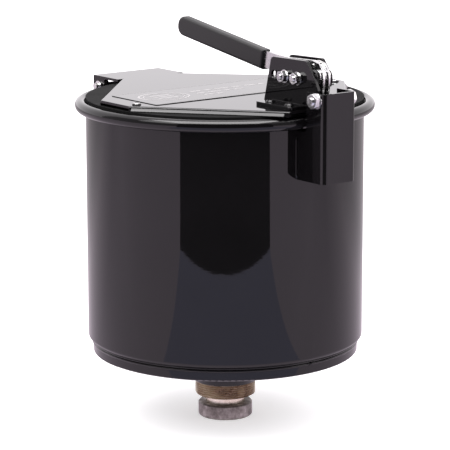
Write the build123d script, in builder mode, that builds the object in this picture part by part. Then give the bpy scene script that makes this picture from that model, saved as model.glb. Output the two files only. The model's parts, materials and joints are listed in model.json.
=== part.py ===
from build123d import *
import os

# Oily waste can with a drum-thread outlet, a hinged lid and a hook latch.
# Origin: centre of the outlet's bottom face. +Z up, +X towards the latch. Millimetres.

# ---- Driving dimensions ----
SHEET = 1.5            # can sheet
PLATE = 2.5            # lid, hinge and latch sheet
FIT = 0.05             # radial clearance of pins, bolts and the wall-mounted brackets

cap_r = 27.0           # round coupling at the bottom of the outlet
cap_height = 14.5
outlet_bore_r = 15.0
seat_z = 6.0           # where the pipe neck stops inside the coupling
neck_r = 19.75
neck_bore_r = 15.75
neck_top = 40.0
thread_r = 30.15       # 2 in pipe thread, 60.3 mm across its crests
thread_bottom = 22.0
spigot_r = 29.6        # plain end of the adapter inside the collar
adapter_bore_r = 16.5
adapter_top = 52.0
collar_r = 33.5
collar_bottom = 36.5
collar_bore_r = 30.25

base_z = 69.5          # underside of the base pan
base_r = 131.7
chime_top = 78.3
drain_r = 24.0
foot_r = 130.0         # can wall where the base pan grips it
wall_r = 136.5
step_low = 79.0
step_high = 85.5
curl_z = 315.9         # centre of the rolled rim
curl_r = 6.0
curl_ring_r = wall_r - SHEET + curl_r

seal_low = 320.5       # the lid's layers, from below
seal_high = 323.7
lid_low = 326.2
lid_top = lid_low + PLATE
seal_r = 136.5
retainer_r = 120.0
retainer_low = 318.5
backing_r = 84.0
stud_ring_r = 65.0
stud_r = 3.0
rivet_r = 2.5

tab_x = -167.0         # hinge tab: outer end, half width, and where it meets the lid
tab_w = 41.0
tab_root_x = -124.0
tab_root_w = 36.0
edge_bend = 1.8        # outer radius of the lid's folded edges
side_x = (-22.0, 25.0)       # the lid's short side edges
side_w = 133.0
lid_end_x = 144.0
lid_end_w = 36.0
notch_x = 126.5
notch_w = 7.5

hinge = (-157.0, 318.5)
hinge_r = 3.0
lug_low = 33.0
lug_high = 37.0
lug_r = 7.0

bracket_x = 174.5
bracket_w = 19.5
bracket_low = 262.0
bracket_top = 346.5
keeper = (163.5, 339.5)
keeper_r = 4.0

ear_low = 9.5
ear_high = 12.5
foot_w = 32.0
foot_x = (88.0, 140.0)
clamp_low = 6.5
stud_xs = (109.0, 128.0)
stud_z = 356.0
pivot = (147.0, 359.5)       # lever pivot
crank = (139.0, 368.0)       # draw link's pin on the lever
stop = (96.0, 356.4)
lever_t = 2.0                # half thickness of the lever bar
strap_low = 2.3
strap_high = 4.3
grip_ends = ((-71.0, 387.2), (65.0, 366.0))
grip_tilt = -8.87
grip_h = 19.5
grip_t = 11.0
tang_h = 16.0

os.makedirs("parts", exist_ok=True)


def save(builder, name):
    builder.part.label = name
    export_step(builder.part, f"parts/{name}.step")


def mirrored(points):
    return [(x, -y) for x, y in reversed(points)]


def rods(y_low, y_high, radius, places, mode=Mode.ADD):
    """Round rods along Y, added or cut."""
    with BuildSketch(Plane.XZ.offset(-y_low)) as ends:
        with Locations(*places):
            Circle(radius)
    extrude(ends.sketch, amount=-(y_high - y_low), mode=mode)


def rings(y_low, y_high, r_out, r_in, places):
    """Flat washers whose axes run along Y."""
    with BuildSketch(Plane.XZ.offset(-y_low)) as ends:
        with Locations(*places):
            Circle(r_out)
            Circle(r_in, mode=Mode.SUBTRACT)
    extrude(ends.sketch, amount=-(y_high - y_low))


def hexagons(y_low, y_high, flats, bore, places):
    """Hexagon nuts, or heads when the bore is zero, whose axes run along Y."""
    with BuildSketch(Plane.XZ.offset(-y_low)) as ends:
        with Locations(*places):
            RegularPolygon(flats / 2, 6, major_radius=False, rotation=12)
            if bore > 0:
                Circle(bore, mode=Mode.SUBTRACT)
    extrude(ends.sketch, amount=-(y_high - y_low))


def slab(points, y_low, y_high, mode=Mode.ADD):
    """Flat plate with its outline in the XZ plane, added or cut."""
    with BuildSketch(Plane.XZ.offset(-y_low)) as outline:
        with BuildLine():
            Polyline(*points, close=True)
        make_face()
    extrude(outline.sketch, amount=-(y_high - y_low), mode=mode)


def turned(points):
    """Solid of revolution about Z from an outline in the XZ plane."""
    with BuildSketch(Plane.XZ) as outline:
        with BuildLine():
            Polyline(*points, close=True)
        make_face()
    revolve(outline.sketch, axis=Axis.Z)


def disc(z_low, z_high, radius, mode=Mode.ADD):
    """Round disc or bore along Z."""
    with BuildSketch(Plane.XY.offset(z_low)) as outline:
        Circle(radius)
    extrude(outline.sketch, amount=z_high - z_low, mode=mode)


def edges_along_y(builder, x, z):
    """Edges along Y through one corner of a plate's outline."""
    return builder.edges().filter_by(Axis.Y).filter_by(
        lambda e: abs(e.center().X - x) < 0.4 and abs(e.center().Z - z) < 0.4
    )


def round_edges(builder, radius, z):
    """Circular edges about Z with a given radius and height."""
    return builder.edges().filter_by(GeomType.CIRCLE).filter_by(
        lambda e: abs(e.radius - radius) < 0.01 and abs(e.center().Z - z) < 0.01
    )


# ---- Outlet ----
with BuildPart() as outlet_cap:
    turned([
        (outlet_bore_r, 0), (cap_r - 1.4, 0), (cap_r, 1.4), (cap_r, cap_height - 1.4),
        (cap_r - 1.4, cap_height), (neck_r + 0.1, cap_height), (neck_r + 0.1, seat_z),
        (outlet_bore_r, seat_z),
    ])
save(outlet_cap, "outlet_cap")

with BuildPart() as outlet_nipple:
    disc(seat_z, neck_top, neck_r)
    disc(seat_z, neck_top, neck_bore_r, Mode.SUBTRACT)
save(outlet_nipple, "outlet_nipple")

with BuildPart() as outlet_adapter:
    turned([
        (neck_r + 0.1, thread_bottom), (thread_r, thread_bottom), (thread_r, collar_bottom),
        (spigot_r, collar_bottom), (spigot_r, adapter_top), (adapter_bore_r, adapter_top),
        (adapter_bore_r, neck_top), (neck_r + 0.1, neck_top),
    ])
save(outlet_adapter, "outlet_adapter")

with BuildPart() as outlet_collar:
    turned([
        (collar_bore_r, collar_bottom), (31.2, collar_bottom), (collar_r, collar_bottom + 5.5),
        (collar_r, base_z), (collar_bore_r, base_z),
    ])
save(outlet_collar, "outlet_collar")

# ---- Can ----
with BuildPart() as base_pan:
    turned([
        (drain_r, base_z), (base_r, base_z), (base_r, chime_top), (foot_r + FIT, chime_top),
        (foot_r + FIT, base_z + SHEET), (drain_r, base_z + SHEET),
    ])
    fillet(round_edges(base_pan, base_r, base_z), 1.2)
save(base_pan, "base_pan")

with BuildPart() as can_shell:
    with BuildSketch(Plane.XZ):
        with Locations((curl_ring_r, curl_z)):
            Circle(curl_r)
            Circle(curl_r - SHEET, mode=Mode.SUBTRACT)
        with BuildLine():
            Polyline(
                (curl_ring_r, curl_z), (curl_ring_r - 12, curl_z),
                (curl_ring_r - 12, curl_z - 8.92), (curl_ring_r - 8.03, curl_z - 8.92),
                close=True,
            )
        make_face(mode=Mode.SUBTRACT)
        with BuildLine():
            Polyline(
                (foot_r, base_z + SHEET + 0.2), (foot_r, step_low), (wall_r, step_high),
                (wall_r, curl_z), (wall_r - SHEET, curl_z), (wall_r - SHEET, step_high + 0.6),
                (foot_r - SHEET, step_low + 0.6), (foot_r - SHEET, base_z + SHEET + 0.2),
                close=True,
            )
        make_face()
    revolve(axis=Axis.Z)
    fillet(round_edges(can_shell, wall_r, step_high), 3.0)
    fillet(round_edges(can_shell, wall_r - SHEET, step_high + 0.6), 1.5)
save(can_shell, "can_shell")

# ---- Hinge ----
lug_outline = [
    (hinge[0] + lug_r, hinge[1]), (hinge[0] + lug_r, 308.0), (-140.0, 304.0), (-126.0, 304.0),
    (-126.0, 268.0), (-138.0, 268.0), (-161.3, 313.0), (hinge[0] - lug_r, hinge[1]),
]
with BuildPart() as hinge_bracket:
    for y_low in (-lug_high, lug_low):
        slab(lug_outline, y_low, y_low + lug_high - lug_low)
        rods(y_low, y_low + lug_high - lug_low, lug_r, [hinge])
    with BuildSketch(Plane.XY.offset(268.0)):
        with Locations((-133.8, 0)):
            Rectangle(15.6, 2 * lug_low + 1)
    extrude(amount=36.0)
    disc(260.0, 307.0, wall_r + FIT, Mode.SUBTRACT)
    rods(-60, 60, hinge_r + FIT, [hinge], Mode.SUBTRACT)
save(hinge_bracket, "hinge_bracket")

with BuildPart() as hinge_pin:
    rods(-46.5, 42.0, hinge_r, [hinge])
    rods(41.3, 44.0, 5.5, [hinge])
save(hinge_pin, "hinge_pin")

with BuildPart() as hinge_clip:
    rings(-42.4, -41.3, 5.2, hinge_r + FIT, [hinge])
save(hinge_clip, "hinge_clip")

# ---- Latch bracket and keeper ----
with BuildPart() as latch_bracket:
    with BuildSketch(Plane.XY.offset(bracket_low)) as channel:
        with Locations(((120 + bracket_x) / 2, 0)):
            Rectangle(bracket_x - 120, 2 * bracket_w)
        fillet(channel.vertices().sort_by(Axis.X)[-2:], 5.0)
        with Locations(((110 + bracket_x - PLATE) / 2, 0)):
            Rectangle(
                bracket_x - PLATE - 110, 2 * (bracket_w - PLATE), mode=Mode.SUBTRACT
            )
    extrude(amount=bracket_top - bracket_low)
    disc(bracket_low - 5, 400, wall_r + FIT, Mode.SUBTRACT)
    slab(
        [(100, 308.4), (146.0, 308.4), (149.0, 311.4), (149.0, 400), (100, 400)],
        -50, 50, Mode.SUBTRACT,
    )
    rods(-50, 50, keeper_r + FIT, [keeper], Mode.SUBTRACT)
save(latch_bracket, "latch_bracket")

with BuildPart() as keeper_bolt:
    rods(-27.6, bracket_w, keeper_r, [keeper])
    hexagons(bracket_w, bracket_w + 4.0, 13.0, 0, [keeper])
save(keeper_bolt, "keeper_bolt")

with BuildPart() as keeper_nut:
    hexagons(-bracket_w - 6.4, -bracket_w - 1.2, 13.0, keeper_r + FIT, [keeper])
save(keeper_nut, "keeper_nut")

with BuildPart() as keeper_washer:
    rings(-bracket_w - 1.2, -bracket_w, 7.6, keeper_r + FIT, [keeper])
save(keeper_washer, "keeper_washer")

# ---- Lid ----
octagon_half = [
    (tab_root_x, -tab_root_w), (side_x[0], -side_w), (side_x[1], -side_w),
    (lid_end_x, -lid_end_w),
]
lid_half = [(tab_x, -tab_w), (tab_root_x, -tab_w)] + octagon_half
corner_places = [(22.0, -122.0), (22.0, 122.0)]
foot_places = [(x, y) for x in (100.0, 128.0) for y in (-23.0, 23.0)]
flange_outline = [
    (tab_x, lid_low), (tab_x, 314.0), (-163.0, 309.5), (-151.0, 309.5), (-148.0, 312.5),
    (-148.0, lid_low),
]
with BuildPart() as lid_plate:
    with BuildSketch(Plane.XY.offset(lid_low)):
        with BuildLine():
            Polyline(*(lid_half + mirrored(lid_half)), close=True)
        make_face()
    extrude(amount=PLATE)
    with BuildSketch(Plane.XY.offset(seal_high)):
        with BuildLine():
            Polyline(*(octagon_half + mirrored(octagon_half)), close=True)
        make_face()
        offset(amount=-PLATE, kind=Kind.INTERSECTION, mode=Mode.SUBTRACT)
        with Locations((0, 0)):
            Rectangle(2 * side_w + 60, 2 * tab_root_w - 4, mode=Mode.SUBTRACT)
        with Locations(((side_x[0] + side_x[1]) / 2, 0)):
            Rectangle(side_x[1] - side_x[0], 2 * side_w + 10, mode=Mode.SUBTRACT)
        with Locations((lid_end_x, 0)):
            Rectangle(12, 2 * lid_end_w - 4, mode=Mode.SUBTRACT)
    extrude(amount=lid_low - seal_high)
    with BuildSketch(Plane.XY.offset(lid_low)):
        with Locations(((notch_x + lid_end_x + 5) / 2, 0)):
            Rectangle(lid_end_x + 5 - notch_x, 2 * notch_w, mode=Mode.ADD)
    extrude(amount=PLATE, mode=Mode.SUBTRACT)
    for y_low in (-tab_w, tab_w - PLATE):
        slab(flange_outline, y_low, y_low + PLATE)
    fillet(
        lid_plate.edges().filter_by(GeomType.LINE).filter_by(
            lambda e: abs(e.center().Z - lid_top) < 0.01
            and min(abs(e.tangent_at(0).X), abs(e.tangent_at(0).Y)) > 0.5
        ),
        edge_bend,
    )
    rods(-60, 60, hinge_r + 0.08, [hinge], Mode.SUBTRACT)
    with BuildSketch(Plane.XY.offset(lid_low)):
        with Locations(*corner_places, *foot_places):
            Circle(rivet_r + FIT)
    extrude(amount=PLATE, mode=Mode.SUBTRACT)
save(lid_plate, "lid_plate")

with BuildPart() as backing_disc:
    disc(seal_high, lid_low, backing_r)
save(backing_disc, "backing_disc")

with BuildPart() as seal_disc:
    disc(seal_low, seal_high, seal_r)
    with PolarLocations(stud_ring_r, 4, 45):
        Hole(stud_r + FIT)
save(seal_disc, "seal_disc")

with BuildPart() as seal_retainer:
    disc(retainer_low, seal_low, retainer_r)
    with PolarLocations(stud_ring_r, 4, 45):
        Hole(stud_r + FIT)
save(seal_retainer, "seal_retainer")

with BuildPart() as seal_studs:
    with BuildSketch(Plane.XY.offset(309.0)):
        with PolarLocations(stud_ring_r, 4, 45):
            Circle(stud_r)
    extrude(amount=seal_high - 309.0)
save(seal_studs, "seal_studs")

with BuildPart() as seal_nuts:
    with BuildSketch(Plane.XY.offset(retainer_low - 5.2)):
        with PolarLocations(stud_ring_r, 4, 45):
            RegularPolygon(5.0, 6, major_radius=False)
            Circle(stud_r + FIT, mode=Mode.SUBTRACT)
    extrude(amount=5.2)
save(seal_nuts, "seal_nuts")


def rivets(places, head_r, shank_r, base):
    """Domed rivets standing on a sheet whose top is at base."""
    with BuildSketch(Plane.XY.offset(base)) as heads:
        with Locations(*places):
            Circle(head_r)
    extrude(heads.sketch, amount=1.8, taper=38)
    with BuildSketch(Plane.XY.offset(lid_low - 1.8)) as shanks:
        with Locations(*places):
            Circle(shank_r)
    extrude(shanks.sketch, amount=base - lid_low + 1.8)


with BuildPart() as corner_rivets:
    rivets(corner_places, 4.5, rivet_r, lid_top)
save(corner_rivets, "corner_rivets")

with BuildPart() as foot_rivets:
    rivets(foot_places, 4.5, rivet_r, lid_top + 3.0)
save(foot_rivets, "foot_rivets")

with BuildPart() as label_plate:
    with BuildSketch(Plane.XY.offset(lid_top)):
        RectangleRounded(75.0, 220.0, 3.0)
    extrude(amount=0.6)
save(label_plate, "label_plate")

# ---- Latch ears and clamp plates ----
near_outline = [
    (77.0, lid_top), (88.0, 372.5), (140.0, 373.5), (145.0, 366.5), (153.0, 355.5),
    (157.0, 347.5), (157.5, 331.5), (144.0, 331.5), (144.0, lid_top),
]
far_outline = [
    (77.0, lid_top), (88.0, 372.5), (136.0, 373.8), (143.0, 365.0), (142.5, 350.0),
    (140.0, 340.0), (140.0, lid_top),
]
for side, name, ear_outline, corner in (
    (-1, "ear_near", near_outline, (140.0, 373.5)), (1, "ear_far", far_outline, (136.0, 373.8)),
):
    with BuildPart() as ear:
        low = min(side * ear_low, side * ear_high)
        slab(ear_outline, low, low + ear_high - ear_low)
        fillet(edges_along_y(ear, 88.0, 372.5), 5.0)
        fillet(edges_along_y(ear, corner[0], corner[1]), 4.0)
        with BuildSketch(Plane.XY.offset(lid_top)):
            with Locations((sum(foot_x) / 2, side * (ear_low + 0.5 + foot_w) / 2)):
                Rectangle(foot_x[1] - foot_x[0], foot_w - ear_low - 0.5)
        extrude(amount=3.0)
        fillet(
            ear.edges().filter_by(Axis.Z).filter_by(
                lambda e: abs(abs(e.center().Y) - foot_w) < 0.1
            ),
            3.0,
        )
        with BuildSketch(Plane.XZ.offset(30)):
            with Locations((111.5, stud_z)):
                SlotOverall(47.0, 8.0)
        extrude(amount=-60, mode=Mode.SUBTRACT)
        with BuildSketch(Plane.XY.offset(lid_low - 5)):
            with Locations(*foot_places):
                Circle(rivet_r + FIT)
        extrude(amount=15, mode=Mode.SUBTRACT)
    save(ear, name)

clamp_outline = [
    (90.5, 349.0), (150.0, 349.0), (152.0, 355.0), (151.7, 360.0), (149.6, 363.4),
    (145.5, 365.5), (90.5, 366.5),
]
stud_places = [(x, stud_z) for x in stud_xs]
for side, name in ((-1, "clamp_plate_near"), (1, "clamp_plate_far")):
    with BuildPart() as clamp_plate:
        low = min(side * clamp_low, side * ear_low)
        slab(clamp_outline, low, low + ear_low - clamp_low)
        rods(-30, 30, 3.0 + FIT, stud_places + [pivot], Mode.SUBTRACT)
    save(clamp_plate, name)

with BuildPart() as clamp_studs:
    rods(clamp_low, 20.5, 3.0, stud_places)
    rods(-20.5, -clamp_low, 3.0, stud_places)
save(clamp_studs, "clamp_studs")

with BuildPart() as clamp_washers:
    rings(ear_high, ear_high + 1.4, 6.2, 3.0 + FIT, stud_places)
    rings(-ear_high - 1.4, -ear_high, 6.2, 3.0 + FIT, stud_places)
save(clamp_washers, "clamp_washers")

with BuildPart() as clamp_nuts:
    hexagons(ear_high + 1.4, ear_high + 6.6, 10.0, 3.0 + FIT, stud_places)
    hexagons(-ear_high - 6.6, -ear_high - 1.4, 10.0, 3.0 + FIT, stud_places)
save(clamp_nuts, "clamp_nuts")

with BuildPart() as stop_pin:
    rods(-clamp_low, clamp_low, 3.0, [stop])
save(stop_pin, "stop_pin")

with BuildPart() as lever_pin:
    rods(-ear_low + 0.1, ear_low - 0.1, 3.0, [pivot])
save(lever_pin, "lever_pin")

with BuildPart() as pivot_spacers:
    rings(strap_high + 0.3, clamp_low - 0.05, 6.0, 3.0 + FIT, [pivot])
    rings(-clamp_low + 0.05, -strap_high - 0.3, 6.0, 3.0 + FIT, [pivot])
save(pivot_spacers, "pivot_spacers")

# ---- Lever ----
bar_outline = [
    (58.0, 359.2), (80.0, 356.6), (88.0, 359.7), (134.0, 359.7), (143.5, 354.6),
    (152.0, 356.0), (152.6, 361.5), (143.6, 370.0), (139.0, 373.0), (100.0, 371.6),
    (84.0, 372.6), (60.0, 375.0),
]
mid = ((grip_ends[0][0] + grip_ends[1][0]) / 2, (grip_ends[0][1] + grip_ends[1][1]) / 2)
with BuildPart() as lever_bar:
    slab(bar_outline, -lever_t, lever_t)
    rods(-lever_t, lever_t, 6.0, [pivot])
    rods(-lever_t, lever_t, 5.0, [crank])
    with BuildSketch(Plane.XZ.offset(lever_t)):
        with Locations(Location((mid[0] + 2.0, mid[1] - 0.3, 0), (0, 0, grip_tilt))):
            Rectangle(126.0, tang_h)
    extrude(amount=-2 * lever_t)
    rods(-10, 10, 3.0 + 0.08, [pivot], Mode.SUBTRACT)
    rods(-10, 10, 2.5 + FIT, [crank], Mode.SUBTRACT)
save(lever_bar, "lever_bar")

with BuildPart() as grip:
    with BuildSketch(Plane.XZ.offset(grip_t / 2)) as profile:
        with Locations(Location((mid[0], mid[1], 0), (0, 0, grip_tilt))):
            Rectangle(137.6, grip_h)
        fillet(profile.vertices().sort_by(Axis.X)[:2], 9.0)
    extrude(amount=-grip_t)
    fillet(grip.faces().filter_by(Axis.Y).edges(), 3.2)
    with BuildSketch(Plane.XZ.offset(lever_t + 0.05)):
        with Locations(Location((mid[0] + 8.0, mid[1] - 1.24, 0), (0, 0, grip_tilt))):
            Rectangle(150.0, tang_h + 0.1)
    extrude(amount=-2 * (lever_t + 0.05), mode=Mode.SUBTRACT)
    slab(
        [(50.0, 360.0), (58.0, 359.1), (80.0, 356.5), (80.0, 373.1), (60.0, 375.1), (50.0, 375.1)],
        -lever_t - 0.05, lever_t + 0.05, Mode.SUBTRACT,
    )
save(grip, "grip")

with BuildPart() as link_pin:
    rods(-strap_high - 0.8, strap_high + 0.8, 2.5, [crank])
save(link_pin, "link_pin")

# ---- Draw link ----
strap_outline = [
    (139.0, 373.0), (148.5, 371.0), (153.0, 365.5), (155.0, 357.5), (154.2, 347.0),
    (152.0, 338.0), (152.0, 330.7), (158.8, 330.7), (158.8, 325.0), (146.0, 325.0),
    (146.0, 338.0), (149.8, 350.0), (151.3, 358.0), (150.6, 362.0), (147.5, 364.3),
    (139.0, 363.0),
]
for side, name in ((-1, "link_strap_near"), (1, "link_strap_far")):
    with BuildPart() as strap:
        low = min(side * strap_low, side * strap_high)
        slab(strap_outline, low, low + strap_high - strap_low)
        rods(low, low + strap_high - strap_low, 5.0, [crank])
        fillet(edges_along_y(strap, 152.0, 330.7), 1.2)
        rods(-10, 10, 2.5 + 0.08, [crank], Mode.SUBTRACT)
    save(strap, name)

with BuildPart() as hook_bar:
    slab([(146.6, 325.5), (158.2, 325.5), (158.2, 330.2), (146.6, 330.2)], -strap_low, strap_low)
save(hook_bar, "hook_bar")
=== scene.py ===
import bpy
import json
import math
from mathutils import Matrix, Vector, noise


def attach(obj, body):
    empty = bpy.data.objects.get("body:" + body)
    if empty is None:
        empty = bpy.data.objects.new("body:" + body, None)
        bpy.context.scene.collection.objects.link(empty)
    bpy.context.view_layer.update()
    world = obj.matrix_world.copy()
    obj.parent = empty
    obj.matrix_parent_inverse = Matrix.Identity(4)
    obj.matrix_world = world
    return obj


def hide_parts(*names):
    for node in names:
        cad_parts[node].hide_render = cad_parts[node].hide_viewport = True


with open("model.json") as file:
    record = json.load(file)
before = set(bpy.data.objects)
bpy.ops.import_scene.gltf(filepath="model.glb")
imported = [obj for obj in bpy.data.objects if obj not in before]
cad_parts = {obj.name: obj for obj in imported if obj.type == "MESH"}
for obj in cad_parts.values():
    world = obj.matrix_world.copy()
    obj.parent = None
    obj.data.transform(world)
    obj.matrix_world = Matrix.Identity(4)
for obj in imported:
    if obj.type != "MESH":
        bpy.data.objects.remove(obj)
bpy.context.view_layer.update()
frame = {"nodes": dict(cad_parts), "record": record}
nodes = frame["nodes"]
MM = 0.001
TAU = 2 * math.pi

# ---------------------------------------------------------------- driving dimensions, in mm as in the CAD
WALL_R = 136.5
THREAD_R, THREAD_LOW, THREAD_HIGH, THREAD_PITCH = 30.15, 22.0, 36.6, 2.21
SPIGOT_R, ADAPTER_TOP = 29.6, 52.0
NECK_HOLE_R, NECK_TOP, ADAPTER_BORE_R = 19.85, 40.0, 16.5
LID_TOP, LID_LOW, SEAL_HIGH = 328.7, 326.2, 323.7
LID_CORNER, LID_END = (25, 133), (144, 36)
EAR_FOOT_TOP = 331.7
KEEPER, KEEPER_R, KEEPER_FLATS = (163.5, 339.5), 4.0, 13.0
STUD_XS, STUD_Z = (109.0, 128.0), 356
STUD_R, STUD_PITCH, STUD_DEPTH = 3.0, 1.0, 0.45
STUD_NUT = (10.0, 5.2, 3.02)     # across flats, height, bore radius
SEAL_STUD_RING, RETAINER_LOW = 65, 318.5
CORNER_RIVET_X, CORNER_RIVET_Y = 22, 122
FOOT_RIVET_XS, FOOT_RIVET_Y = (100, 128), 23
RIVET_HEAD_R = 4.5
WELD_TOP = 303.0                 # where the brackets' welds end, under the rim
LABEL_TOP, OVAL_Y = 329.3, -74
INK_THICKNESS = 0.08


# ---------------------------------------------------------------- materials
class Mat:
    """A node material with one Principled shader and object-space texture coordinates."""

    def __init__(self, name, **values):
        self.m = bpy.data.materials.new(name)
        self.m.use_nodes = True
        self.t = self.m.node_tree
        self.p = self.t.nodes["Principled BSDF"]
        self.co = self.t.nodes.new("ShaderNodeTexCoord")
        for key, value in values.items():
            self.p.inputs[key.replace("_", " ")].default_value = value

    def node(self, kind, **inputs):
        n = self.t.nodes.new(kind)
        for key, value in inputs.items():
            n.inputs[key.replace("_", " ")].default_value = value
        return n

    def link(self, a, b):
        self.t.links.new(a, b)

    def mapped(self, scale):
        n = self.node("ShaderNodeMapping")
        n.inputs["Scale"].default_value = scale
        self.link(self.co.outputs["Object"], n.inputs["Vector"])
        return n.outputs["Vector"]

    def noise(self, scale, detail=3.0, rough=0.5, stretch=(1, 1, 1)):
        n = self.node("ShaderNodeTexNoise", Scale=scale, Detail=detail, Roughness=rough)
        self.link(self.mapped(stretch), n.inputs["Vector"])
        return n.outputs["Fac"]

    def ramp(self, fac, stops):
        n = self.node("ShaderNodeValToRGB")
        e = n.color_ramp.elements
        while len(e) < len(stops):
            e.new(0.5)
        for item, (pos, col) in zip(e, stops):
            item.position = pos
            item.color = (*col, 1) if len(col) == 3 else col
        self.link(fac, n.inputs["Fac"])
        return n.outputs["Color"]

    def span(self, fac, low, high, a=0.3, b=0.7):
        n = self.node("ShaderNodeMapRange")
        n.inputs["From Min"].default_value = a
        n.inputs["From Max"].default_value = b
        n.inputs["To Min"].default_value = low
        n.inputs["To Max"].default_value = high
        self.link(fac, n.inputs["Value"])
        return n.outputs["Result"]

    def bump(self, heights, edge=0.0):
        last = None
        if edge:
            n = self.node("ShaderNodeBevel", Radius=edge)
            n.samples = 4
            last = n.outputs["Normal"]
        for fac, strength, distance in heights:
            n = self.node("ShaderNodeBump", Strength=strength, Distance=distance)
            self.link(fac, n.inputs["Height"])
            if last:
                self.link(last, n.inputs["Normal"])
            last = n.outputs["Normal"]
        self.link(last, self.p.inputs["Normal"])

    def set(self, key, out):
        self.link(out, self.p.inputs[key])


def paint(name, edge=0.0006, bright=1.0):
    """Gloss black enamel with slight orange peel and fine ripples."""
    k = Mat(name, Metallic=0.0, IOR=1.40)
    big = k.noise(9.0, 4.0, 0.6)
    peel = k.noise(260.0, 1.0)
    fine = k.noise(1500.0, 2.0)
    k.set("Base Color", k.ramp(big, [
        (0.3, (0.0022 * bright, 0.0020 * bright, 0.0023 * bright)),
        (0.7, (0.0034 * bright, 0.0030 * bright, 0.0035 * bright)),
    ]))
    k.set("Roughness", k.span(big, 0.018, 0.050))
    ripple = k.noise(420.0, 2.0, 0.5, (0.25, 0.25, 1))
    k.bump([(peel, 0.05, 0.00006), (ripple, 0.07, 0.00006), (fine, 0.015, 0.00002)], edge)
    return k.m


def zinc(name, low=0.40, high=0.66, rough=(0.16, 0.34), edge=0.0004):
    """Bright zinc plate: slightly blue and yellow patches, fine brushed grain, scuffs."""
    k = Mat(name, Metallic=1.0)
    patch = k.noise(70.0, 4.0, 0.6)
    grain = k.noise(900.0, 3.0, 0.6, (1, 0.12, 1))
    scuff = k.noise(340.0, 5.0, 0.7)
    k.set("Base Color", k.ramp(patch, [
        (0.28, (low, low, low * 1.04)), (0.5, (high * 0.93, high * 0.93, high * 0.93)),
        (0.75, (high, high * 0.985, high * 0.94)),
    ]))
    k.set("Roughness", k.span(scuff, rough[0], rough[1]))
    k.bump([(grain, 0.10, 0.00008), (scuff, 0.08, 0.00012)], edge)
    return k.m


def galvanised():
    """Mottled warm-grey galvanised pipe coupling with vertical tooling streaks."""
    k = Mat("galvanised", Metallic=0.85)
    streak = k.noise(420.0, 4.0, 0.65, (1, 1, 0.16))
    blotch = k.noise(120.0, 5.0, 0.7)
    mix = k.t.nodes.new("ShaderNodeMix")
    mix.data_type = "RGBA"
    mix.blend_type = "MULTIPLY"
    mix.inputs["Factor"].default_value = 0.75
    tones = [(0.3, (0.12, 0.105, 0.100)), (0.5, (0.24, 0.214, 0.204)), (0.72, (0.40, 0.37, 0.36))]
    k.link(k.ramp(blotch, tones), mix.inputs["A"])
    k.link(k.ramp(streak, [(0.3, (0.62, 0.60, 0.58)), (0.7, (1.0, 1.0, 1.0))]), mix.inputs["B"])
    k.set("Base Color", mix.outputs["Result"])
    k.set("Roughness", k.span(blotch, 0.62, 0.38))
    k.bump([(streak, 0.25, 0.0003), (blotch, 0.3, 0.0004)], 0.0005)
    return k.m


def thread_steel():
    """Bare pipe thread: olive and reddish-brown oil film over cut steel."""
    k = Mat("thread_steel", Metallic=0.9)
    tone = k.noise(45.0, 4.0, 0.6)
    fine = k.noise(800.0, 3.0, 0.6, (1, 1, 0.3))
    k.set("Base Color", k.ramp(tone, [
        (0.30, (0.24, 0.17, 0.13)), (0.48, (0.40, 0.32, 0.235)), (0.62, (0.49, 0.415, 0.31)),
        (0.78, (0.64, 0.55, 0.45)),
    ]))
    k.set("Roughness", k.span(tone, 0.24, 0.42))
    k.bump([(fine, 0.15, 0.0001)])
    return k.m


def neck_steel():
    """Turned pipe neck, beige with a fine lathe finish."""
    k = Mat("neck_steel", Metallic=0.9)
    lathe = k.noise(700.0, 2.0, 0.5, (0.02, 0.02, 1))
    tone = k.noise(60.0, 4.0, 0.6)
    k.set("Base Color", k.ramp(tone, [
        (0.3, (0.56, 0.47, 0.38)), (0.55, (0.78, 0.70, 0.60)), (0.75, (0.92, 0.85, 0.77)),
    ]))
    k.set("Roughness", k.span(tone, 0.22, 0.36))
    k.bump([(lathe, 0.18, 0.0001)])
    return k.m


def rubber():
    """Black sponge rubber with a fine pitted skin."""
    k = Mat("rubber", Specular_IOR_Level=0.12)
    pits = k.noise(1200.0, 3.0, 0.7)
    broad = k.noise(30.0, 3.0)
    k.set("Base Color", k.ramp(broad, [(0.3, (0.002, 0.002, 0.002)), (0.7, (0.005, 0.005, 0.005))]))
    k.set("Roughness", k.span(broad, 0.72, 0.86))
    k.bump([(pits, 0.35, 0.0001)], 0.0006)
    return k.m


def vinyl():
    """Dipped vinyl grip: satin charcoal with a pebbled skin and faint pull lines."""
    k = Mat("vinyl_grip", IOR=1.48)
    pebble = k.noise(1500.0, 2.0, 0.6)
    broad = k.noise(40.0, 4.0, 0.6, (0.3, 1, 1))
    k.set("Base Color", k.ramp(broad, [(0.3, (0.0035, 0.0032, 0.0035)), (0.7, (0.0075, 0.0068, 0.0072))]))
    k.set("Roughness", k.span(broad, 0.34, 0.46))
    k.bump([(pebble, 0.12, 0.00006), (broad, 0.15, 0.0004)], 0.0004)
    return k.m


def film(name, a, b, rough=(0.3, 0.42)):
    """Printed film with a faint tonal grain."""
    k = Mat(name)
    grain = k.noise(600.0, 3.0, 0.6)
    broad = k.noise(25.0, 3.0)
    k.set("Base Color", k.ramp(grain, [(0.3, a), (0.7, b)]))
    k.set("Roughness", k.span(broad, rough[0], rough[1]))
    k.bump([(grain, 0.04, 0.00004)])
    return k.m


PAINT = paint("black_enamel")
WELD = paint("painted_weld", 0.0)
ZINC = zinc("zinc_plate")
BOLT = zinc("zinc_bolt", 0.38, 0.72, (0.12, 0.28), 0.0002)
GALV = galvanised()
THREAD = thread_steel()
NECK = neck_steel()
RUBBER = rubber()
VINYL = vinyl()
LABEL = film("label_film", (0.006, 0.006, 0.0065), (0.009, 0.009, 0.0095), (0.04, 0.08))
INK = film("label_ink", (0.34, 0.33, 0.33), (0.44, 0.43, 0.43))

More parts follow.
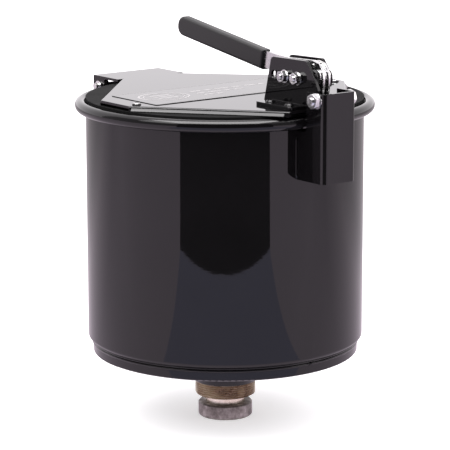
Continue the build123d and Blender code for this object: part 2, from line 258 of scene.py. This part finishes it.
by_slot = {
    "black_paint": PAINT, "galvanised": GALV, "thread_steel": THREAD, "zinc_plate": ZINC,
    "rubber": RUBBER, "label": LABEL, "vinyl_grip": VINYL,
}
slot_of = {s["node"]: s["material_slot"] for s in frame["record"]["subparts"]}
for name, obj in nodes.items():
    mat = by_slot[slot_of[name]]
    if name == "outlet_nipple":
        mat = NECK
    if name in ("hinge_clip", "keeper_washer", "clamp_washers"):
        mat = BOLT
    for s in obj.material_slots:
        s.material = mat
    if not obj.material_slots:
        obj.data.materials.append(mat)


# ---------------------------------------------------------------- mesh helpers
def piece(name, verts, faces, mat, body, smooth=35, stands_for=()):
    mesh = bpy.data.meshes.new(name)
    mesh.from_pydata([tuple(v) for v in verts], [], faces)
    mesh.validate()
    mesh.materials.append(mat)
    obj = bpy.data.objects.new(name, mesh)
    bpy.context.scene.collection.objects.link(obj)
    mesh.polygons.foreach_set("use_smooth", [True] * len(mesh.polygons))
    if hasattr(mesh, "set_sharp_from_angle"):
        mesh.set_sharp_from_angle(angle=math.radians(smooth))
    mesh.update()
    if stands_for:
        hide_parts(*stands_for)
    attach(obj, body)
    return obj


def loft(rings, closed=True):
    """Faces between successive rings of equal length; a closed loft joins last to first."""
    n = len(rings[0])
    verts = [v for ring in rings for v in ring]
    faces = []
    count = len(rings)
    for i in range(count if closed else count - 1):
        a = i * n
        b = ((i + 1) % count) * n
        for j in range(n):
            k = (j + 1) % n
            faces.append((a + j, a + k, b + k, b + j))
    return verts, faces


def merge(parts):
    verts, faces = [], []
    for v, f in parts:
        base = len(verts)
        verts += v
        faces += [tuple(i + base for i in face) for face in f]
    return verts, faces


def along(center, direction):
    """Matrix that carries local Z onto a direction through a centre, in metres."""
    z = Vector(direction).normalized()
    return Matrix.Translation(Vector(center)) @ z.to_track_quat("Z", "Y").to_matrix().to_4x4()


def placed(part, matrix):
    verts, faces = part
    return [matrix @ Vector(v) for v in verts], faces


def hex_nut(flats, height, bore, turn=0.0, n=96):
    """Chamfered hexagon nut, or a head when the bore is small, standing on local z = 0."""
    inner = bore * MM
    half = flats / 2 * MM
    h = height * MM
    rim = half * 0.985
    rings = []

    def ring(radius_at, z_at):
        out = []
        for j in range(n):
            t = TAU * j / n
            r = radius_at(t)
            out.append((r * math.cos(t), r * math.sin(t), z_at(r)))
        return out

    def hexagon(t):
        u = (t - turn) % (TAU / 6) - TAU / 12
        return half / math.cos(u)

    drop = math.tan(math.radians(30))
    rings.append(ring(lambda t: inner, lambda r: h - 0.0006 if bore > 1 else h))
    rings.append(ring(lambda t: inner + 0.0006, lambda r: h))
    rings.append(ring(lambda t: rim, lambda r: h))
    rings.append(ring(hexagon, lambda r: h - max(0.0, r - rim) * drop - 0.00002))
    rings.append(ring(hexagon, lambda r: max(0.0, r - rim) * drop + 0.00002))
    rings.append(ring(lambda t: rim, lambda r: 0.0))
    rings.append(ring(lambda t: inner + 0.0006, lambda r: 0.0))
    rings.append(ring(lambda t: inner, lambda r: 0.0006 if bore > 1 else 0.0))
    return loft(rings)


def threaded(r_mm, length_mm, pitch_mm, depth_mm, n=48, per=6):
    """Closed threaded rod from local z = 0 up to its chamfered tip."""
    rows = int(length_mm / pitch_mm * per) + 1
    rings = []
    for i in range(rows + 1):
        z = length_mm * i / rows
        ring = []
        for j in range(n):
            t = TAU * j / n
            phase = (z / pitch_mm - j / n) % 1.0
            tooth = abs(phase - 0.5) * 2
            tooth = min(1.0, max(0.0, (tooth - 0.08) / 0.84))
            r = r_mm - depth_mm * tooth
            r = min(r, r_mm - depth_mm - 0.15 + max(0.0, length_mm - z))
            ring.append((r * MM * math.cos(t), r * MM * math.sin(t), z * MM))
        rings.append(ring)
    inner = 0.05
    cap_top = [(inner * MM * math.cos(TAU * j / n), inner * MM * math.sin(TAU * j / n), length_mm * MM)
               for j in range(n)]
    cap_low = [(x, y, 0.0) for x, y, z in cap_top]
    return loft(rings + [cap_top, cap_low])


def bead(points, radius, seed=0.0, n=10, step=0.0009):
    """Weld bead along a polyline in metres: a tube whose ripples follow the torch."""
    path = []
    for a, b in zip(points, points[1:]):
        a, b = Vector(a), Vector(b)
        count = max(2, int((b - a).length / step))
        path += [a.lerp(b, i / count) for i in range(count)]
    path.append(Vector(points[-1]))
    rings = []
    total = len(path)
    for i, p in enumerate(path):
        tangent = (path[min(i + 1, total - 1)] - path[max(i - 1, 0)]).normalized()
        side = tangent.orthogonal().normalized()
        other = tangent.cross(side)
        end = min(1.0, (min(i, total - 1 - i) + 0.6) / 4)
        wave = 1 + 0.13 * math.sin(i * step / 0.0021 * TAU) + 0.12 * noise.noise(Vector((i * 0.11, seed, 3.7)))
        r = radius * wave * math.sqrt(end)
        rings.append([p + (side * math.cos(TAU * j / n) + other * math.sin(TAU * j / n)) * r for j in range(n)])
    return capped(rings)


def circle_path(r_mm, z_mm, n):
    """Closed ring of points in metres for a bead around the can's axis."""
    return [(math.cos(TAU * i / n) * r_mm * MM, math.sin(TAU * i / n) * r_mm * MM, z_mm * MM)
            for i in range(n + 1)]


def capped(rings):
    """Open loft with both ends closed by flat faces."""
    n = len(rings[0])
    verts, faces = loft(rings, closed=False)
    last = (len(rings) - 1) * n
    faces.append(tuple(range(n - 1, -1, -1)))
    faces.append(tuple(last + j for j in range(n)))
    return verts, faces


def dome(center, radius, height, n=32, rows=7):
    """Rivet head: a domed cap with a flat foot, in millimetres."""
    cx, cy, cz = center
    rings = []
    for i in range(rows + 1):
        u = i / rows * math.pi / 2
        r = max(radius * math.cos(u), 0.02)
        z = cz + height * math.sin(u)
        rings.append([((cx + r * math.cos(TAU * j / n)) * MM, (cy + r * math.sin(TAU * j / n)) * MM, z * MM)
                      for j in range(n)])
    foot = [((cx + 0.02 * math.cos(TAU * j / n)) * MM, (cy + 0.02 * math.sin(TAU * j / n)) * MM, cz * MM)
            for j in range(n)]
    return loft(rings + [foot])


# ---------------------------------------------------------------- outlet
def pipe_thread():
    """2 in pipe thread, cut straight on the adapter, with its chamfered start and hidden spigot."""
    n, rows, depth, start_r = 160, 78, 1.45, 27.9
    low, high = THREAD_LOW, THREAD_HIGH
    rings = []

    def circle(r, z):
        return [(r * MM * math.cos(TAU * j / n), r * MM * math.sin(TAU * j / n), z * MM) for j in range(n)]

    rings.append(circle(NECK_HOLE_R, low))
    rings.append(circle(start_r, low))
    for i in range(rows + 1):
        z = low + (high - low) * i / rows
        ring = []
        for j in range(n):
            t = TAU * j / n
            phase = ((z - low) / THREAD_PITCH - j / n) % 1.0
            tooth = abs(phase - 0.5) * 2
            tooth = min(1.0, max(0.0, (tooth - 0.12) / 0.80))
            r = THREAD_R - depth * tooth
            r = min(r, start_r + (z - low) * 1.6)
            ring.append((r * MM * math.cos(t), r * MM * math.sin(t), z * MM))
        rings.append(ring)
    for r, z in ((SPIGOT_R, high), (SPIGOT_R, ADAPTER_TOP), (ADAPTER_BORE_R, ADAPTER_TOP),
                 (ADAPTER_BORE_R, NECK_TOP), (NECK_HOLE_R, NECK_TOP)):
        rings.append(circle(r, z))
    return loft(rings)


v, f = pipe_thread()
piece("outlet_thread", v, f, THREAD, "can", 28, ("outlet_adapter",))

v, f = bead(circle_path(33.9, 69.1, 72), 0.0017, 1.0)
piece("collar_weld", v, f, WELD, "can", 60)

# ---------------------------------------------------------------- seam between the wall and the pan
parts = []
for r, z, size in ((131.35, 79.3, 0.0014), (133.2, 82.2, 0.0008)):
    parts.append(bead(circle_path(r, z, 120), size, seed=r))
v, f = merge(parts)
piece("seam_weld", v, f, PAINT, "can", 60)


# ---------------------------------------------------------------- bracket and hinge welds
def flange_welds(name, front, y, z_low, proud, size, seed):
    """Two upright beads where a bracket's flanges meet the wall: front is 1, or -1 for the back."""
    x = front * math.sqrt((WALL_R + proud) ** 2 - y ** 2)
    beads = []
    for side in (-1, 1):
        ends = [(x * MM, side * y * MM, z * MM) for z in (z_low, WELD_TOP)]
        beads.append(bead(ends, size, side * seed))
    v, f = merge(beads)
    piece(name, v, f, WELD, "can", 60)


flange_welds("bracket_welds", front=1, y=19.9, z_low=263.0, proud=0.2, size=0.0013, seed=2.0)
flange_welds("hinge_welds", front=-1, y=37.4, z_low=269.0, proud=0.3, size=0.0014, seed=5.0)


# ---------------------------------------------------------------- fasteners
def bolt(name, axis_point, y_head, y_end, r, flats, pitch, body, stands_for, grip_end, head_h):
    """Bolt along Y: chamfered head on the +Y side, plain shank, threaded tip on the -Y side."""
    x, z = axis_point
    head = placed(hex_nut(flats, head_h, 0.05, 0.25), along((x * MM, y_head * MM, z * MM), (0, 1, 0)))
    n = 40
    profile = ((grip_end, 0.05), (grip_end, r), (y_head, r), (y_head, 0.05))
    shank = loft([[((x + rr * math.cos(TAU * j / n)) * MM, y * MM, (z + rr * math.sin(TAU * j / n)) * MM)
                   for j in range(n)] for y, rr in profile])
    tip = placed(threaded(r, grip_end - y_end, pitch, 0.55), along((x * MM, grip_end * MM, z * MM), (0, -1, 0)))
    v, f = merge([head, shank, tip])
    return piece(name, v, f, BOLT, body, 30, stands_for)


bolt("keeper_bolt_hex", KEEPER, 19.5, -27.6, KEEPER_R, KEEPER_FLATS, 1.25, "can", ("keeper_bolt",), -19.6, 4.0)

seat = along((KEEPER[0] * MM, -20.7 * MM, KEEPER[1] * MM), (0, -1, 0))
v, f = placed(hex_nut(KEEPER_FLATS, 5.2, 4.02, 0.42), seat)
piece("keeper_nut_hex", v, f, BOLT, "can", 30, ("keeper_nut",))

nuts, studs = [], []
for k, x in enumerate(STUD_XS):
    for side in (-1, 1):
        turn = 0.2 + 0.31 * k
        seat = along((x * MM, side * 13.9 * MM, STUD_Z * MM), (0, side, 0))
        root = along((x * MM, side * 6.5 * MM, STUD_Z * MM), (0, side, 0))
        nuts.append(placed(hex_nut(*STUD_NUT, turn), seat))
        studs.append(placed(threaded(STUD_R, 14.0, STUD_PITCH, STUD_DEPTH), root))
v, f = merge(nuts)
piece("clamp_nuts_hex", v, f, BOLT, "lid", 30, ("clamp_nuts",))
v, f = merge(studs)
piece("clamp_studs_cut", v, f, BOLT, "lid", 30, ("clamp_studs",))

nuts, studs = [], []
for k in range(4):
    t = TAU * (k + 0.5) / 4
    x, y = SEAL_STUD_RING * math.cos(t), SEAL_STUD_RING * math.sin(t)
    seat = along((x * MM, y * MM, RETAINER_LOW * MM), (0, 0, -1))
    root = along((x * MM, y * MM, SEAL_HIGH * MM), (0, 0, -1))
    nuts.append(placed(hex_nut(*STUD_NUT, 0.3 * k), seat))
    studs.append(placed(threaded(STUD_R, 14.7, STUD_PITCH, STUD_DEPTH), root))
v, f = merge(nuts)
piece("seal_nuts_hex", v, f, BOLT, "lid", 30, ("seal_nuts",))
v, f = merge(studs)
piece("seal_studs_cut", v, f, BOLT, "lid", 30, ("seal_studs",))

sides = (-CORNER_RIVET_Y, CORNER_RIVET_Y)
v, f = merge([dome((CORNER_RIVET_X, y, LID_TOP), RIVET_HEAD_R, 2.2) for y in sides])
piece("corner_rivet_heads", v, f, PAINT, "lid", 40)
sides = (-FOOT_RIVET_Y, FOOT_RIVET_Y)
v, f = merge([dome((x, y, EAR_FOOT_TOP), RIVET_HEAD_R, 2.0) for x in FOOT_RIVET_XS for y in sides])
piece("foot_rivet_heads", v, f, PAINT, "lid", 40)


# ---------------------------------------------------------------- flared lip along the lid's front edges
def lip(a, b):
    """Strip along a lid edge, from a to b in mm, that flares out below the fold."""
    a, b = Vector(a), Vector(b)
    run = (b - a).normalized()
    out = Vector((run.y, -run.x))
    if out.dot(a + b) < 0:
        out = -out
    high, low = LID_LOW + 0.7, SEAL_HIGH + 0.15
    section = [(-0.6, high), (0.25, high), (2.3, low + 0.65), (2.45, low + 0.25), (2.3, low), (-0.6, low)]
    rings = []
    for i in range(41):
        p = a + (b - a) * (0.015 + 0.955 * i / 40)
        rings.append([Vector(((p.x + out.x * u) * MM, (p.y + out.y * u) * MM, z * MM)) for u, z in section])
    return capped(rings)


v, f = merge([lip((LID_CORNER[0], -LID_CORNER[1]), (LID_END[0], -LID_END[1])), lip(LID_END, LID_CORNER)])
piece("lid_lips", v, f, PAINT, "lid", 30)


# ---------------------------------------------------------------- label print: generic oval and bars
def oval_ring(cx, cy, a, b, width, z, n=64):
    outer = [((cx + b * math.cos(TAU * j / n)) * MM, (cy + a * math.sin(TAU * j / n)) * MM) for j in range(n)]
    inner = [((cx + (b - width) * math.cos(TAU * j / n)) * MM, (cy + (a - width) * math.sin(TAU * j / n)) * MM)
             for j in range(n)]
    low, high = z * MM, (z + INK_THICKNESS) * MM
    return loft([[(x, y, low) for x, y in outer], [(x, y, high) for x, y in outer],
                 [(x, y, high) for x, y in inner], [(x, y, low) for x, y in inner]])


def bar(x0, x1, y0, y1, z):
    low, high = z * MM, (z + INK_THICKNESS) * MM
    c = [(x0 * MM, y0 * MM), (x1 * MM, y0 * MM), (x1 * MM, y1 * MM), (x0 * MM, y1 * MM)]
    verts = [(x, y, low) for x, y in c] + [(x, y, high) for x, y in c]
    faces = [(3, 2, 1, 0), (4, 5, 6, 7), (0, 1, 5, 4), (1, 2, 6, 5), (2, 3, 7, 6), (3, 0, 4, 7)]
    return verts, faces


ink = [oval_ring(0, OVAL_Y, 27, 22, 2.2, LABEL_TOP), oval_ring(0, OVAL_Y, 22, 17, 1.0, LABEL_TOP)]
for x in (-8, 0, 8):
    ink.append(bar(x - 1.6, x + 1.6, OVAL_Y - 12, OVAL_Y + 12, LABEL_TOP))
for x, lengths in ((-9, (13, 8, 17, 10, 14, 7)), (3, (9, 15, 7, 12)), (14, (11, 8))):
    y = -36.0
    for length in lengths:
        ink.append(bar(x - 2.2, x + 2.2, y, y + length, LABEL_TOP))
        y += length + 4.5
for edge in (-35.5, 35.0):
    ink.append(bar(edge, edge + 0.6, -107, 107, LABEL_TOP))
v, f = merge(ink)
piece("label_print", v, f, INK, "lid", 30)

# ---------------------------------------------------------------- stage, light and camera
def plane(name, corners, mat):
    mesh = bpy.data.meshes.new(name)
    mesh.from_pydata(corners, [], [tuple(range(len(corners)))])
    mesh.materials.append(mat)
    obj = bpy.data.objects.new(name, mesh)
    bpy.context.scene.collection.objects.link(obj)
    return obj


def flat(name, a, b, rough):
    k = Mat(name)
    k.set("Base Color", k.ramp(k.noise(3.0, 3.0), [(0.35, a), (0.65, b)]))
    k.set("Roughness", k.span(k.noise(40.0, 2.0), rough, rough + 0.1))
    return k.m


floor_mat = flat("floor_paper", (0.93, 0.93, 0.93), (0.945, 0.945, 0.945), 0.75)
shader = floor_mat.node_tree.nodes["Principled BSDF"]
shader.inputs["Emission Color"].default_value = (1, 1, 1, 1)
shader.inputs["Emission Strength"].default_value = 0.40
shader.inputs["Specular IOR Level"].default_value = 0.0
FLOOR = 14.0
plane("floor", [(-FLOOR, -FLOOR, 0), (FLOOR, -FLOOR, 0), (FLOOR, FLOOR, 0), (-FLOOR, FLOOR, 0)], floor_mat)

AZ = math.radians(52.3527)
right = Vector((math.cos(AZ), math.sin(AZ), 0))
toward = Vector((math.sin(AZ), -math.cos(AZ), 0))


def mirror_only(obj):
    """Hide a card from everything but mirror reflections."""
    obj.visible_camera = False
    obj.visible_diffuse = False
    obj.visible_shadow = False
    obj.visible_transmission = False


def card(name, outline, mat, z):
    """A level card, outlined in metres to the right and towards the camera."""
    mirror_only(plane(name, [(p.x, p.y, z) for p in (right * a + toward * b for a, b in outline)], mat))


def glow(name, axis, stops, power=1.0):
    """Even light whose colour changes along one direction, for the cards."""
    k = Mat(name, Roughness=1.0, Specular_IOR_Level=0.0)
    dot = k.t.nodes.new("ShaderNodeVectorMath")
    dot.operation = "DOT_PRODUCT"
    dot.inputs[1].default_value = axis
    k.link(k.co.outputs["Object"], dot.inputs[0])
    low, high = stops[0][0], stops[-1][0]
    fac = k.span(dot.outputs["Value"], 0.0, 1.0, low, high)
    k.set("Emission Color", k.ramp(fac, [((p - low) / (high - low), c) for p, c in stops]))
    k.p.inputs["Base Color"].default_value = (0, 0, 0, 1)
    k.p.inputs["Emission Strength"].default_value = power
    return k.m


# The unlit room beyond the table's front edge, and the table's cooler front part.
TABLE_SIDE, TABLE_EDGE, TABLE_BOW = 0.575, 0.872, 0.037
ROOM_SIDE, ROOM_FRONT, ROOM_TOP = 2.9, 4.02, 4.4
UNLIT = ((0.002, 0.002, 0.002), (0.003, 0.003, 0.003), 0.9)
near_edge = [(TABLE_SIDE * i / 12, TABLE_EDGE - TABLE_BOW * (i / 12) ** 2) for i in range(-12, 13)]
card("dark_card", near_edge + [(ROOM_SIDE, 4.0), (-ROOM_SIDE, 4.0)], flat("dark_card", *UNLIT), 0.004)


card("sweep_card", [(-12, -12), (12, -12), (12, 12), (-12, 12)],
     glow("sweep_glow", toward - right * 0.15, [
         (-1.3, (0.66, 0.60, 0.64)), (-0.85, (0.76, 0.69, 0.75)), (-0.55, (1.00, 0.88, 0.98)),
         (-0.1, (0.98, 0.85, 0.98)), (0.25, (1.30, 1.13, 1.30)), (0.6, (1.34, 1.16, 1.34))]), 0.0015)
card("cool_card", [(-0.30, 0.30), (0.34, 0.22)] + [(a, b + 0.002) for a, b in reversed(near_edge)],
     glow("cool_glow", toward, [(0.2, (0.84, 0.82, 1.10)), (0.9, (0.92, 0.90, 1.20))]), 0.003)
# The dark room behind the camera, above the table's front edge.
wall = ((-ROOM_SIDE, 0), (ROOM_SIDE, 0), (ROOM_SIDE, ROOM_TOP), (-ROOM_SIDE, ROOM_TOP))
mirror_only(plane("room_card", [right * a + toward * ROOM_FRONT + Vector((0, 0, z)) for a, z in wall],
                  flat("room_dark", *UNLIT)))
# The dimmer side walls of the studio.
for side in (-1, 1):
    wall = ((ROOM_SIDE, ROOM_FRONT, 0), (5.5, -1.5, 0), (5.5, -1.5, ROOM_TOP),
            (ROOM_SIDE, ROOM_FRONT, ROOM_TOP))
    corners = [right * a * side + toward * b + Vector((0, 0, z)) for a, b, z in wall]
    dim = glow(f"side_glow_{side + 1}", toward, [(-1.5, (0.52, 0.50, 0.52)), (4.0, (0.30, 0.29, 0.30))])
    mirror_only(plane(f"side_card_{side + 1}", corners, dim))
# The softbox above the set, which draws the white lines on rims and folded edges.
card("softbox_card", [(-1.25, -0.2), (0.9, -0.2), (0.9, 1.5), (-1.25, 1.5)],
     glow("softbox_glow", toward, [(-0.2, (1.0, 0.98, 0.99)), (1.5, (1.0, 0.98, 0.99))], 11.5), 2.3)

world = bpy.data.worlds.new("studio")
bpy.context.scene.world = world
world.use_nodes = True
bg = world.node_tree.nodes["Background"]
bg.inputs["Color"].default_value = (1.0, 0.965, 0.995, 1)
bg.inputs["Strength"].default_value = 1.45
bpy.context.scene.view_settings.view_transform = "Standard"


def area(name, place, aim, size, power, color=(1, 1, 1)):
    data = bpy.data.lights.new(name, "AREA")
    data.shape = "RECTANGLE"
    data.size, data.size_y = size
    data.energy = power
    data.color = color
    obj = bpy.data.objects.new(name, data)
    bpy.context.scene.collection.objects.link(obj)
    obj.location = place
    obj.rotation_euler = (Vector(aim) - Vector(place)).to_track_quat("-Z", "Y").to_euler()
    return obj


aim = (0, 0, 0.2)
area("key", -right * 1.4 + toward * 0.9 + Vector((0, 0, 2.0)), aim, (1.2, 1.2), 14, (1.0, 0.985, 0.98))
area("fill", right * 1.8 + toward * 0.5 + Vector((0, 0, 1.2)), aim, (0.9, 1.4), 8, (1.0, 0.96, 0.97))
area("top", Vector((0, 0, 2.6)), (0, 0, 0), (2.0, 2.0), 10)

# Distance, height and side offset in metres, tilt and roll in radians, focal length in picture widths.
D, H, PITCH, F, ROLL, SIDE = 2.304553, 0.675546, 0.20612, 5.2784067, -0.001438, -0.0000705
cam_data = bpy.data.cameras.new("camera")
cam = bpy.data.objects.new("camera", cam_data)
bpy.context.scene.collection.objects.link(cam)
fwd = (-toward * math.cos(PITCH) + Vector((0, 0, -1)) * math.sin(PITCH)).normalized()
up = right.cross(fwd)
r2 = right * math.cos(ROLL) + up * math.sin(ROLL)
u2 = -right * math.sin(ROLL) + up * math.cos(ROLL)
place = toward * D + Vector((0, 0, H)) + right * SIDE
cam.matrix_world = Matrix((
    (r2.x, u2.x, -fwd.x, place.x),
    (r2.y, u2.y, -fwd.y, place.y),
    (r2.z, u2.z, -fwd.z, place.z),
    (0, 0, 0, 1),
))
cam_data.sensor_width = 36.0
cam_data.lens = F * cam_data.sensor_width
cam_data.clip_start = 0.05
cam_data.clip_end = 60.0
cam_data.dof.use_dof = False
bpy.context.scene.camera = cam
